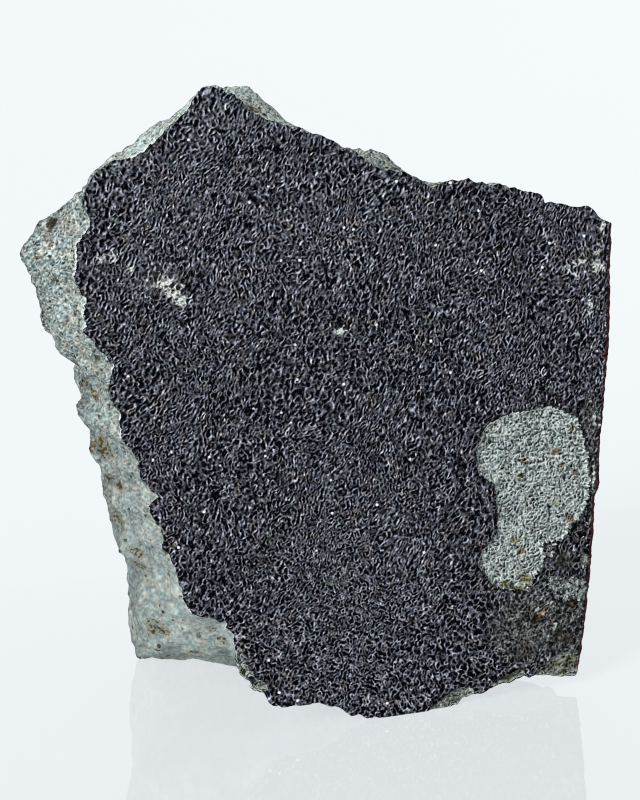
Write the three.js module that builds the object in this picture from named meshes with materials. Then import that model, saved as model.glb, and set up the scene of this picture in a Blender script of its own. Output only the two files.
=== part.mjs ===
// A broken slab of ordinary chondrite that stands on its lower edge. It is one stone: a black fusion crust
// covers the broad front face, and every other side is a break through the pale grey inside of the rock.
// Millimetres, +Z up. The crusted face looks towards -Y, and the stone stands on z = 0.

import * as THREE from "three";
import { mergeVertices } from "three/addons/utils/BufferGeometryUtils.js";

// Driving dimensions, in mm.
const frontY = -13.5; // the crusted face, where it stands out most
const frontFall = 0.8; // how far the crusted face falls back from there at its rim
const crown = { x: 0, z: 15 }; // where it stands out most
const crownHalfWidth = 29;
const crownHalfHeight = 50;
const backFootY = 13.3; // the back face at the foot, where the slab is thickest
const backLean = 0.22; // the back leans forward this much for each mm of height
const backSwell = 1.2; // how far the middle of the back stands out from its rim
const waistShare = 0.45; // how far through the slab, from front to back, the waist outline lies
const heart = { x: 0, z: 31 }; // outlines are measured outwards from this axis, which runs along Y
const middleX = 0.8; // moves the stone over, so that the middle of its box is on the Z axis

// Wide shallow scoops that the break left in the back face.
const scoops = [
  { x: 11, z: 38, radius: 13, depth: 1.3 },
  { x: -13, z: 27, radius: 10, depth: 0.9 },
  { x: 4, z: 14, radius: 9, depth: 0.8 },
];

// How finely the surface is divided.
const ribs = 144; // round the stone
const faceRings = 7; // from the middle of a face to its rim
const frontSideRings = 4; // from the front rim to the waist
const backSideRings = 4; // from the waist to the back rim
const sideRings = frontSideRings + backSideRings;

// The stone's outline at three depths, as corners [x, z], all anticlockwise seen from the front.
const crustRim = [
  [29.5, 49.3], [26.8, 51.4], [21.5, 52.8], [16.2, 54.6], [10.7, 55.5], [9.5, 54.7], [6.2, 56.8], [3.8, 57.1],
  [-0.3, 59.7], [-6.3, 62.6], [-9.3, 63.8], [-11.7, 65.9], [-13.5, 66.9], [-15.5, 66.8], [-16.4, 65.3],
  [-20.7, 61.3], [-25.7, 59.7], [-27.3, 56.6], [-26.4, 54], [-28.2, 49.1], [-26.8, 46.5], [-27, 43.5],
  [-24.4, 40.3], [-24.9, 36.8], [-23.8, 33], [-20, 26.5], [-21, 25], [-19.5, 21], [-17.6, 15.4],
  [-16.3, 13.6], [-13, 12.7], [-11.8, 8.5], [-10, 5.4], [-7.8, 3.2], [-2.7, 2.6], [0.5, 1], [6.4, -0.2],
  [10.1, -0.2], [14, 1.2], [18.5, 1.6], [22.5, 1.9], [26.4, 1.5], [27.6, 13.7], [28.9, 30.3], [29.6, 47.5],
];
const waist = [
  [29, 47], [24, 50.5], [21, 51.8], [16, 53.3], [12.5, 52.9], [8.8, 55.3], [5.8, 57.7], [1.5, 58.6],
  [-2.5, 60.2], [-5, 61.5], [-7.2, 64], [-9.1, 65.8], [-11.3, 66.1], [-14, 64], [-21.2, 60.2], [-23.2, 59.1],
  [-25.4, 56.6], [-29.4, 53.5], [-31.2, 50.8], [-30.3, 48.3], [-29.5, 43.5], [-27, 39.6], [-25.1, 37.7],
  [-25.2, 34.7], [-24.3, 30], [-22.7, 26.5], [-21.9, 21.9], [-19.4, 15.6], [-19.6, 11], [-18.5, 6],
  [-15.6, 4.9], [-11.2, 4.2], [-7, 3.7], [-4, 2.4], [0.5, 0], [4, -2], [15, -1], [20, 1], [26.5, 3], [28, 24],
];
const backRim = [
  [27, 43], [22, 47], [14, 50], [4, 54], [-4, 59], [-9, 61], [-15, 58.5], [-21, 54.5], [-26, 50],
  [-25.6, 44], [-22.6, 37], [-20.4, 31], [-18.8, 25], [-16.6, 18], [-14.4, 11], [-14.4, 5],
  [-13, 0], [-4, -2], [8, -2], [14, 0], [20, 3.5], [25.5, 8], [26.5, 24],
];

// The distance from the heart to a closed outline, straight out in the direction of the angle.
function reach(outline, angle) {
  const dx = Math.cos(angle);
  const dz = Math.sin(angle);
  let best = 0;
  outline.forEach(([ax, az], i) => {
    const [bx, bz] = outline[(i + 1) % outline.length];
    const px = ax - heart.x;
    const pz = az - heart.z;
    const ex = bx - ax;
    const ez = bz - az;
    const cross = dx * ez - dz * ex;
    if (Math.abs(cross) < 1e-9) return;
    const out = (px * ez - pz * ex) / cross;
    const along = (px * dz - pz * dx) / cross;
    if (along >= 0 && along <= 1 && out > best) best = out;
  });
  return best;
}

// The crusted face is a very flat dome.
function frontDepth(x, z) {
  const u = (x - crown.x) / crownHalfWidth;
  const v = (z - crown.z) / crownHalfHeight;
  return frontY + frontFall * (u * u + v * v);
}

// The back face leans, swells in the middle and has its scoops. share runs from 0 in the middle to 1 at the rim.
function backDepth(x, z, share) {
  let y = backFootY - backLean * z + backSwell * (1 - share * share);
  for (const scoop of scoops) {
    const away = Math.hypot(x - scoop.x, z - scoop.z) / scoop.radius;
    if (away < 1) y -= scoop.depth * (1 - away * away) ** 2 * (1 - share ** 6);
  }
  return y;
}

// A point on the rib at this angle. The rib runs straight from its corner on the front rim to its corner on
// the waist, and straight on to its corner on the back rim.
function sidePoint(angle, ring) {
  const front = Math.max(1 - ring / frontSideRings, 0);
  const back = Math.max(ring / frontSideRings - 1, 0) * (frontSideRings / backSideRings);
  const middle = 1 - front - back;
  const depth = waistShare * middle + back;
  const out =
    front * reach(crustRim, angle) + middle * reach(waist, angle) + back * reach(backRim, angle);
  const x = heart.x + out * Math.cos(angle);
  const z = heart.z + out * Math.sin(angle);
  const y = THREE.MathUtils.lerp(frontDepth(x, z), backDepth(x, z, 1), depth);
  return [x, y, z];
}

// The rings run from the middle of the front, over its rim and the sides, to the middle of the back.
function stonePoint(angle, ring) {
  const fromBack = 2 * faceRings + sideRings - ring;
  if (ring > faceRings && fromBack > faceRings) return sidePoint(angle, ring - faceRings);
  const front = ring <= faceRings;
  const share = (front ? ring : fromBack) / faceRings;
  const out = share * reach(front ? crustRim : backRim, angle);
  const x = heart.x + out * Math.cos(angle);
  const z = heart.z + out * Math.sin(angle);
  return [x, front ? frontDepth(x, z) : backDepth(x, z, share), z];
}

// The stone is a sphere's net of faces, carried out to the surface. What would lie under z = 0 is pressed
// flat, which makes the spot that the stone stands on.
function stoneGeometry() {
  const rings = 2 * faceRings + sideRings;
  const net = new THREE.SphereGeometry(1, ribs, rings);
  const place = net.getAttribute("position");
  for (let i = 0; i < place.count; i++) {
    const rib = i % (ribs + 1);
    const ring = Math.floor(i / (ribs + 1));
    const [x, y, z] = stonePoint((2 * Math.PI * (rib % ribs)) / ribs, ring);
    place.setXYZ(i, x, y, Math.max(z, 0));
  }
  net.deleteAttribute("normal");
  net.deleteAttribute("uv");
  const closed = mergeVertices(net, 1e-4);
  closed.computeVertexNormals();
  return closed;
}

const crustedRock = new THREE.MeshStandardMaterial({ color: "#3b3c41", roughness: 0.7, metalness: 0 });

const stone = new THREE.Mesh(stoneGeometry(), crustedRock);
stone.name = "stone";
stone.position.x = middleX;

const meteorite = new THREE.Group();
meteorite.add(stone);

export default meteorite;
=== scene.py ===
import functools
import math
import bpy
import numpy as np
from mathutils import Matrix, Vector


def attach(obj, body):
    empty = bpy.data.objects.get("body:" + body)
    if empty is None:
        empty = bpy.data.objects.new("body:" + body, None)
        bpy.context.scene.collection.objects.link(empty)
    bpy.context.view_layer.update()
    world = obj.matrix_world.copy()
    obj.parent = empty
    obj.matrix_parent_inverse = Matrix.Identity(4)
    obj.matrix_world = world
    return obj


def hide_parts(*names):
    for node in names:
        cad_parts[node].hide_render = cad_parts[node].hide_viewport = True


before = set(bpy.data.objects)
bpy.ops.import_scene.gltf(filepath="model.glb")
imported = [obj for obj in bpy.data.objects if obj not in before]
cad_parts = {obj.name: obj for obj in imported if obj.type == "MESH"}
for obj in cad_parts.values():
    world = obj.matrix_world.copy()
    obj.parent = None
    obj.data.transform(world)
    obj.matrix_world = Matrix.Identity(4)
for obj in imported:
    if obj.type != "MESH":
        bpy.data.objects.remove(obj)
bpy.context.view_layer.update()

# A broken slab of ordinary chondrite that stands on its lower edge: a wrinkled black fusion crust on the
# broad front face, pale grey-green rock on every broken side. Shapes are worked out in millimetres and
# handed to Blender in metres. The crusted face looks towards -Y, and the stone stands on z = 0.
mm = 0.001
gamma = 2.2  # tones are given as they are seen, and light is the tone to this power


def linear(hexColour):
    # sRGB hex to linear light: the usual curve, (c + 0.055) / 1.055 to the power 2.4, straight near black
    c = np.array([int(hexColour[i : i + 2], 16) for i in (1, 3, 5)]) / 255
    return (*np.where(c <= 0.04045, c / 12.92, ((c + 0.055) / 1.055) ** 2.4), 1.0)


def addNode(tree, kind, sockets=(), out=None, **settings):
    # adds a node, sets its properties, then fills its sockets, by name or in order, with values or with
    # links from other sockets, and gives back the named output, or the first one that is in use
    node = tree.nodes.new("ShaderNode" + kind)
    for name, value in settings.items():
        setattr(node, name, value)
    for name, value in sockets.items() if isinstance(sockets, dict) else enumerate(sockets):
        if isinstance(value, bpy.types.NodeSocket):
            tree.links.new(value, node.inputs[name])
        else:
            node.inputs[name].default_value = value
    return node.outputs[out] if out else next((o for o in node.outputs if o.enabled), node)


def mapped(value, fromMin, fromMax, toMin=0.0, toMax=1.0):
    # what a Map Range node's sockets need: a value, the limits it comes in and the limits it is given
    return {"Value": value, "From Min": fromMin, "From Max": fromMax, "To Min": toMin, "To Max": toMax}


def blended(factor, first, second):
    # what a Mix node's sockets need: the second colour's share and the colours, as sRGB hex or from sockets
    first, second = (linear(c) if isinstance(c, str) else c for c in (first, second))
    return {"Factor": factor, "A": first, "B": second}


def newMaterial(name):
    # an empty material with one Principled shader joined to its surface
    material = bpy.data.materials.new(name)
    material.use_nodes = True
    tree = material.node_tree
    tree.nodes.clear()
    shader = addNode(tree, "BsdfPrincipled")
    addNode(tree, "OutputMaterial", {"Surface": shader})
    return material, tree, shader.node


studio = {
    "azimuth": -23.0,  # degrees round the stone, 0 looks along +Y
    "elevation": 16.0,  # degrees above the floor
    "distance": 450.0,  # mm from the point looked at
    "lookAt": (2.8, -1.6, 30.85),
    "pixelsPerMm": 9.77,  # at the point looked at
    "frameHeight": 800,  # pixels
    "sensor": 36.0,  # mm, along the frame's long side
    "clip": (10.0, 10000.0),  # mm, the nearest and the farthest that the camera sees
    "filterWidth": 1.1,  # pixels
    "sunAngle": 22.0,  # degrees across, a broad soft light
    "sunFrom": (-0.8, -0.55, 0.5),
    "sunStrength": 3.4,
    "roomColour": "#f4f8f9",
    "roomStrength": 0.25,
    "backdropStrength": 0.95,  # the pale wall behind the stone, which the floor mirrors
    "backdropCone": (0.75, 0.95),  # cosines of the angles where the wall starts and where it is full
    "overheadStrength": 0.6,  # a broad soft box above
    "overheadFrom": 0.3,  # sine of the height where it starts
    "floorColour": "#5e6061",
    "floorGlow": 0.71,  # the floor is a sheet that shines a little, like a light table
    "farGlow": 0.72,  # the same further back, where it lies over a paler ground
    "farGlowFrom": 41.0,  # mm behind the stone's middle
    "glowFall": 0.115,  # how much fainter it is at the far side
    "glowFallOver": (70.0, 380.0),
    "floorGlowColour": "#f1f6f9",
    "floorIor": 1.35,
    "floorRoughness": 0.035,
    "floorHalfSize": 3000.0,  # mm
}


def makeCamera(s, back):
    # the camera stands at its distance along the line back from the point it looks at
    scene = bpy.context.scene
    camera = bpy.data.objects.new("camera", bpy.data.cameras.new("camera"))
    camera.location = (Vector(s["lookAt"]) + back * s["distance"]) * mm
    camera.rotation_mode = "QUATERNION"
    camera.rotation_quaternion = (-back).to_track_quat("-Z", "Y")
    camera.data.sensor_width = s["sensor"]
    camera.data.lens = s["pixelsPerMm"] * s["distance"] * s["sensor"] / s["frameHeight"]
    camera.data.clip_start, camera.data.clip_end = (mm * way for way in s["clip"])
    scene.collection.objects.link(camera)
    scene.camera = camera
    scene.view_settings.view_transform = "Standard"
    scene.cycles.filter_width = s["filterWidth"]


def makeLight(s, back):
    # a broad sun in a dim and even room, with a brighter wall behind the stone and a soft box above
    scene = bpy.context.scene
    sun = bpy.data.objects.new("softSun", bpy.data.lights.new("softSun", "SUN"))
    sun.data.angle = math.radians(s["sunAngle"])
    sun.data.energy = s["sunStrength"]
    sun.rotation_mode = "QUATERNION"
    sun.rotation_quaternion = Vector(s["sunFrom"]).to_track_quat("Z", "Y")
    scene.collection.objects.link(sun)

    world = bpy.data.worlds.new("paleRoom")
    scene.world = world
    world.use_nodes = True
    add = functools.partial(addNode, world.node_tree)
    direction = add("TexCoord", out="Generated")
    wallAt = (-back.x, -back.y, back.z)
    facing = add("VectorMath", (direction, wallAt), "Value", operation="DOT_PRODUCT")
    wall = mapped(facing, *s["backdropCone"], s["roomStrength"], s["backdropStrength"])
    wall = add("MapRange", wall, interpolation_type="SMOOTHSTEP")
    upwards = add("SeparateXYZ", {"Vector": direction}, "Z")
    overhead = mapped(upwards, s["overheadFrom"], 1.0, 0.0, s["overheadStrength"])
    overhead = add("MapRange", overhead, interpolation_type="SMOOTHSTEP")
    strength = add("Math", (wall, overhead), operation="ADD")
    background = world.node_tree.nodes["Background"]
    background.inputs["Color"].default_value = linear(s["roomColour"])
    world.node_tree.links.new(strength, background.inputs["Strength"])


def makeFloor(s):
    # one square, of polished acrylic sheet: it mirrors the stone faintly at a low angle
    half = s["floorHalfSize"] * mm
    corners = [(-half, -half, 0), (half, -half, 0), (half, half, 0), (-half, half, 0)]
    mesh = bpy.data.meshes.new("floor")
    mesh.from_pydata(corners, [], [(0, 1, 2, 3)])
    floor = bpy.data.objects.new("floor", mesh)
    bpy.context.scene.collection.objects.link(floor)
    material, tree, shader = newMaterial("polishedAcrylic")
    shader.inputs["Base Color"].default_value = linear(s["floorColour"])
    shader.inputs["Emission Color"].default_value = linear(s["floorGlowColour"])
    shader.inputs["Roughness"].default_value = s["floorRoughness"]
    shader.inputs["IOR"].default_value = s["floorIor"]
    add = functools.partial(addNode, tree)
    along = add("SeparateXYZ", {"Vector": add("TexCoord", out="Object")}, "Y")
    behind = s["farGlowFrom"] * mm
    glow = add("MapRange", mapped(along, behind - mm, behind + mm, s["floorGlow"], s["farGlow"]))
    near, far = (mm * y for y in s["glowFallOver"])
    fall = add("MapRange", mapped(along, near, far, 0.0, s["glowFall"]))
    glow = add("Math", (glow, fall), operation="SUBTRACT")
    tree.links.new(glow, shader.inputs["Emission Strength"])
    mesh.materials.append(material)
    return floor


azimuth, elevation = math.radians(studio["azimuth"]), math.radians(studio["elevation"])
flatShare = math.cos(elevation)
towardsCamera = Vector((math.sin(azimuth) * flatShare, -math.cos(azimuth) * flatShare, math.sin(elevation)))
makeCamera(studio, towardsCamera)
makeLight(studio, towardsCamera)
floor = makeFloor(studio)
print("camera, light and floor are set")


def scramble(x, y, z):
    # mixes three whole numbers into one that looks random (Jenkins' final mix): again and again one number
    # is mixed with the one before it, and the latter, with its bits turned round, is taken off
    start = np.uint32((0xDEADBEEF + (3 << 2) + 13) & 0xFFFFFFFF)
    numbers = [start + v.astype(np.uint32) for v in (x, y, z)]
    for k, bits in enumerate((14, 11, 25, 16, 4, 14, 24)):
        by = numbers[(k + 1) % 3]
        turned = (by << np.uint32(bits)) | (by >> np.uint32(32 - bits))
        numbers[(k + 2) % 3] = (numbers[(k + 2) % 3] ^ by) - turned
    return numbers[2]


def noise(place):
    # Perlin noise from -1 to 1, the same that the shader's Noise Texture gives, so that what the mesh and
    # the material draw falls in the same places. Each corner of a unit cell has a slope, and the slopes'
    # planes are blended by 6t^5 - 15t^4 + 10t^3 along each axis.
    cell = np.floor(place).astype(np.int64)
    inside = place - cell
    ease = inside**3 * (inside * (inside * 6 - 15) + 10)
    total = np.zeros(len(place))
    for k in range(8):
        corner = np.array([k & 1, k >> 1 & 1, k >> 2])
        lot = scramble(*((cell + corner) & 0xFFFFFFFF).T) & 15
        x, y, z = (inside - corner).T
        u = np.where(lot < 8, x, y)
        v = np.where(lot < 4, y, np.where((lot == 12) | (lot == 14), x, z))
        slope = np.where(lot & 1, -u, u) + np.where(lot & 2, -v, v)
        total += slope * np.prod(np.where(corner, ease, 1 - ease), axis=1)
    shaderScale = 0.982
    return shaderScale * total


def layered(place, grain, layers=3, share=0.5, start=0.0):
    # noise at the grain size in mm, read from start on, plus layers of half the size and share of the
    # height each, read a little apart so that their cells don't line up
    apart = 7.3
    return sum(share**k * noise(place * 2**k / grain + start + apart * k) for k in range(layers))


def smoothStep(low, high, value):
    # 3t^2 - 2t^3, where t runs from 0 at low to 1 at high
    t = np.clip((value - low) / (high - low), 0, 1)
    return t * t * (3 - 2 * t)


def ramp(value, low, high, first, last):
    # first up to low, last from high on, and smoothStep's curve between them
    return first + (last - first) * smoothStep(low, high, value)


stone = {
    "frontY": -13.5,  # the crusted face, where it stands out most
    "frontFall": 0.8,  # how far it falls back from there at its rim
    "crown": (0.0, 15.0),  # where it stands out most
    "crownHalf": (29.0, 50.0),
    "backFootY": 13.3,  # the back at the foot, where the slab is thickest
    "backLean": 0.22,  # the back leans forward this much for each mm of height
    "backSwell": 1.2,  # how far the middle of the back stands out from its rim
    "waistShare": 0.45,  # how far through the slab the waist outline lies
    "waistRound": 0.07,  # how far the ribs are rounded on both sides of the waist
    "roundSamples": 9,  # places in that stretch that the mean is taken of
    "heart": (0.0, 31.0),  # the axis that outlines are measured from
    "middleX": 0.8,  # moves the stone over, so that the middle of its box is on the Z axis
    "scoops": [(11, 38, 13, 1.3), (-13, 27, 10, 0.9), (4, 14, 9, 0.8)],  # x, z, radius, depth
    "crustThick": 0.4,
    "nickGrain": 0.9,  # size of the nicks in the front rim
    "nickShare": 0.6,  # height of the smaller nicks among them
    "nickDepths": (0.3, 0.12),  # their depth on the broken edges and on the worn right edge
    "wornFrom": (20, 25),  # x, where the one gives way to the other
    "nickStarts": (3.0, 51.0),  # where their noise is read, for x and for z
    "nickReach": 14,  # they fade out within one part in so many of the way across the front
    "softWidth": 14,  # points of the rim, anything narrower counts as a nick
    "across": 224,  # faces along the top and bottom of the front
    "up": 256,  # faces along its left and right
    "fineRows": 4,  # rows of faces past the front rim before every second rib ends
    "fineShare": 0.035,  # how far through the slab those rows reach
    "sideRows": 44,  # rows from there to the back rim
}

# The front rim, [x, z], anticlockwise seen from the front, in four stretches from corner to corner. It is
# the broken edge of the crust, apart from a few places where bare rock shows outside the crust at the foot.
leftEdge = [
    (-25.7, 59.7), (-26.7, 58.3), (-27.3, 56.6), (-26.6, 55.2), (-26.4, 54), (-27.3, 53.4), (-27.7, 52.2),
    (-27.6, 51), (-28.2, 49.1), (-27.4, 48), (-26.8, 46.5), (-27.3, 45.2), (-27.1, 43.6), (-26.1, 42.4),
    (-24.9, 41.1), (-24.2, 40.3), (-24.7, 38.6), (-24.9, 36.8), (-23.8, 35.3), (-23.8, 32.7), (-22.3, 30.8),
    (-21.7, 28.5), (-20.5, 27), (-19.9, 26.3), (-20.9, 25.6), (-20.9, 24.8), (-19.7, 23.3), (-19.6, 21.4),
    (-18.5, 19.5), (-18.2, 17.9), (-17.6, 15.4), (-16.3, 13.6), (-14.8, 13.3), (-13, 12.7), (-12.2, 11.1),
    (-12, 9.8), (-12, 8.7), (-11.8, 7.4), (-11.4, 6.6), (-10.8, 6), (-10.5, 5.2), (-9.9, 4.8), (-9.1, 4.6),
    (-8.9, 4.1), (-8.6, 3.5), (-8, 3), (-6.8, 2.7), (-5.2, 2.6),
]
lowerEdge = [
    (-5.2, 2.6), (-2.7, 2.5), (-0.8, 1.9), (0.5, 0.9), (3.6, 0.1), (6.4, -0.4), (8.9, -0.8), (10.1, -0.6),
    (11.5, -0.1), (12.9, 0.4), (14, 1.1), (15.4, 1), (16.1, 1.5), (17.8, 1.7), (19.6, 2), (21.3, 2.2),
    (22.5, 1.9), (24.3, 1.4), (26.4, 1.2),
]
rightEdge = [
    (26.4, 1.5), (26.9, 5.1), (27.6, 11.5), (27.8, 15.9), (28, 20.5), (28.4, 21.4), (28.5, 25.5),
    (28.9, 30.3), (29.4, 39.1), (29.6, 47.5), (29.5, 49.3),
]
upperEdge = [
    (29.5, 49.3), (28.3, 49.8), (26.8, 51.4), (25.6, 51.3), (23.2, 52), (21.9, 52.2), (21.1, 53.1),
    (18.4, 53.9), (16.2, 54.6), (13.1, 55.4), (10.7, 55.5), (9.5, 54.7), (8.5, 55.4), (6.2, 56.8),
    (5.1, 56.8), (3.8, 57.1), (2.2, 58.1), (1.5, 58.9), (0.8, 59.5), (-0.3, 59.7), (-1, 60.4), (-3, 61.4),
    (-4.9, 62), (-6.4, 62.3), (-8.5, 63.2), (-9.4, 63.6), (-10.4, 64.7), (-10.9, 65.3), (-11.7, 65.9),
    (-13.5, 66.9), (-14.6, 67), (-15.4, 66.5), (-16.3, 65.1), (-17.8, 63.9), (-19.2, 62.6), (-20.7, 61.3),
    (-22.3, 60.6), (-24.5, 60.4), (-25.7, 59.7),
]
waist = [
    (29, 47), (24, 50.5), (21, 51.8), (16, 53.3), (13.5, 53.3), (12.5, 52.9), (10, 54), (8.8, 55.3),
    (6.6, 57), (5.8, 57.8), (3, 58.1), (1.5, 58.8), (-2.5, 60.4), (-4.3, 61.9), (-5.3, 63.1), (-5.8, 63.7),
    (-6.3, 64.6), (-7.2, 65.3), (-8, 65.7), (-8.8, 65.9), (-10.4, 66), (-12.6, 66), (-14, 65),
    (-16.5, 63.3), (-18.5, 62.6), (-21.2, 60.5), (-23.2, 59), (-25.4, 56.4), (-28.8, 54.6), (-30, 53.6),
    (-31.9, 50.7), (-31, 48.6), (-30.3, 47), (-29.6, 44.3), (-29.6, 42.9), (-27.9, 39.9), (-25.5, 38),
    (-24.7, 37.2), (-24.4, 36.2), (-24.8, 35.2), (-24.7, 34.4), (-25.5, 33.4), (-25, 32.3), (-23.8, 31.3),
    (-23.4, 30.4), (-23.8, 28.6), (-23.4, 27.4), (-22.7, 26.2), (-21.9, 21.9), (-20.4, 17.6), (-19.6, 16.8),
    (-18.8, 15.7), (-18.6, 14.5), (-18.8, 13), (-19.2, 11), (-18.3, 6.4), (-15.6, 5.6), (-12.2, 5.6),
    (-11, 6.7), (-8.8, 6.9), (-6.6, 5.2), (-4, 2.8), (0.5, 0), (4, -2), (15, -1), (20, 1), (26.5, 3),
    (28, 24),
]
backRim = [
    (27, 43), (22, 47), (14, 50), (4, 54), (-4, 59), (-9, 61), (-15, 58.5), (-21, 54.5), (-26, 50),
    (-25.6, 44), (-22.6, 37), (-20.4, 31), (-18.8, 25), (-16.6, 18), (-14.4, 11), (-14.4, 5), (-13, 0),
    (-4, -2), (8, -2), (14, 0), (20, 3.5), (25.5, 8), (26.5, 24),
]

# Chips through the crust, seen from the front: the large one at the lower right, a sliver along the lower
# left edge, two at the foot, and the lower right corner.
chips = [
    [
        (19.8, 30.7), (22.5, 30.8), (24.4, 30.1), (26, 29), (26.6, 27), (27.1, 25.2), (27.4, 22.4),
        (27.2, 20), (26.2, 18.4), (25.2, 17.4), (24, 16.3), (21.8, 16.2), (22.3, 14.9), (21.8, 13.4),
        (21, 12.5), (20.4, 11.4), (18.8, 11.7), (17.3, 12.1), (15.8, 13.2), (14.6, 15.1), (15.2, 16.6),
        (16.7, 18), (16.8, 20.8), (16.3, 23.4), (14.5, 25), (14.3, 27), (14.9, 28.6), (15.7, 29.9),
        (17.9, 30.5),
    ],
    [
        (-12.4, 10), (-11.4, 9.4), (-11, 8.1), (-10.4, 6.8), (-9.7, 6), (-9, 5.6), (-8.7, 4.8), (-9.4, 3.6),
        (-12, 4.6), (-13, 8),
    ],
    [(8.9, -1.2), (9.3, 0.1), (10.2, 0.7), (11.5, 1.4), (13.1, 2), (13.8, 1.8), (14.3, 0.8), (14, 0)],
    [(15.8, 0.8), (16.1, 1.6), (16.9, 2.2), (18.4, 2.5), (19.8, 2.9), (20.5, 1.8), (19, 0.8)],
    [
        (21, 1.2), (21.7, 2.6), (22.8, 3.1), (23.8, 3.8), (25.1, 4.5), (26.1, 3.7), (26.8, 3.4), (27.4, 3),
        (27.4, 0.5),
    ],
]

# Spots where the crust has flaked off in scraps, as x, y, z, half width, half height and strength.
flaked = [
    (26.9, -12.8, 13.6, 0.7, 2.2, 1.5), (26.6, -12.8, 10.6, 1.5, 1.8, 1.7),
    (25.2, -12.9, 10.9, 2.6, 1.9, 1.6), (23.3, -12.9, 11.9, 1.9, 1.2, 1.45), (26, -12.8, 17, 1.4, 1.2, 1.2),
    (23, -12.9, 15.6, 1, 1.6, 1.3), (25.3, -12.9, 4.2, 0.5, 0.4, 1.4), (24.9, -12.9, 8.2, 0.8, 0.5, 1.1),
]

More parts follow.
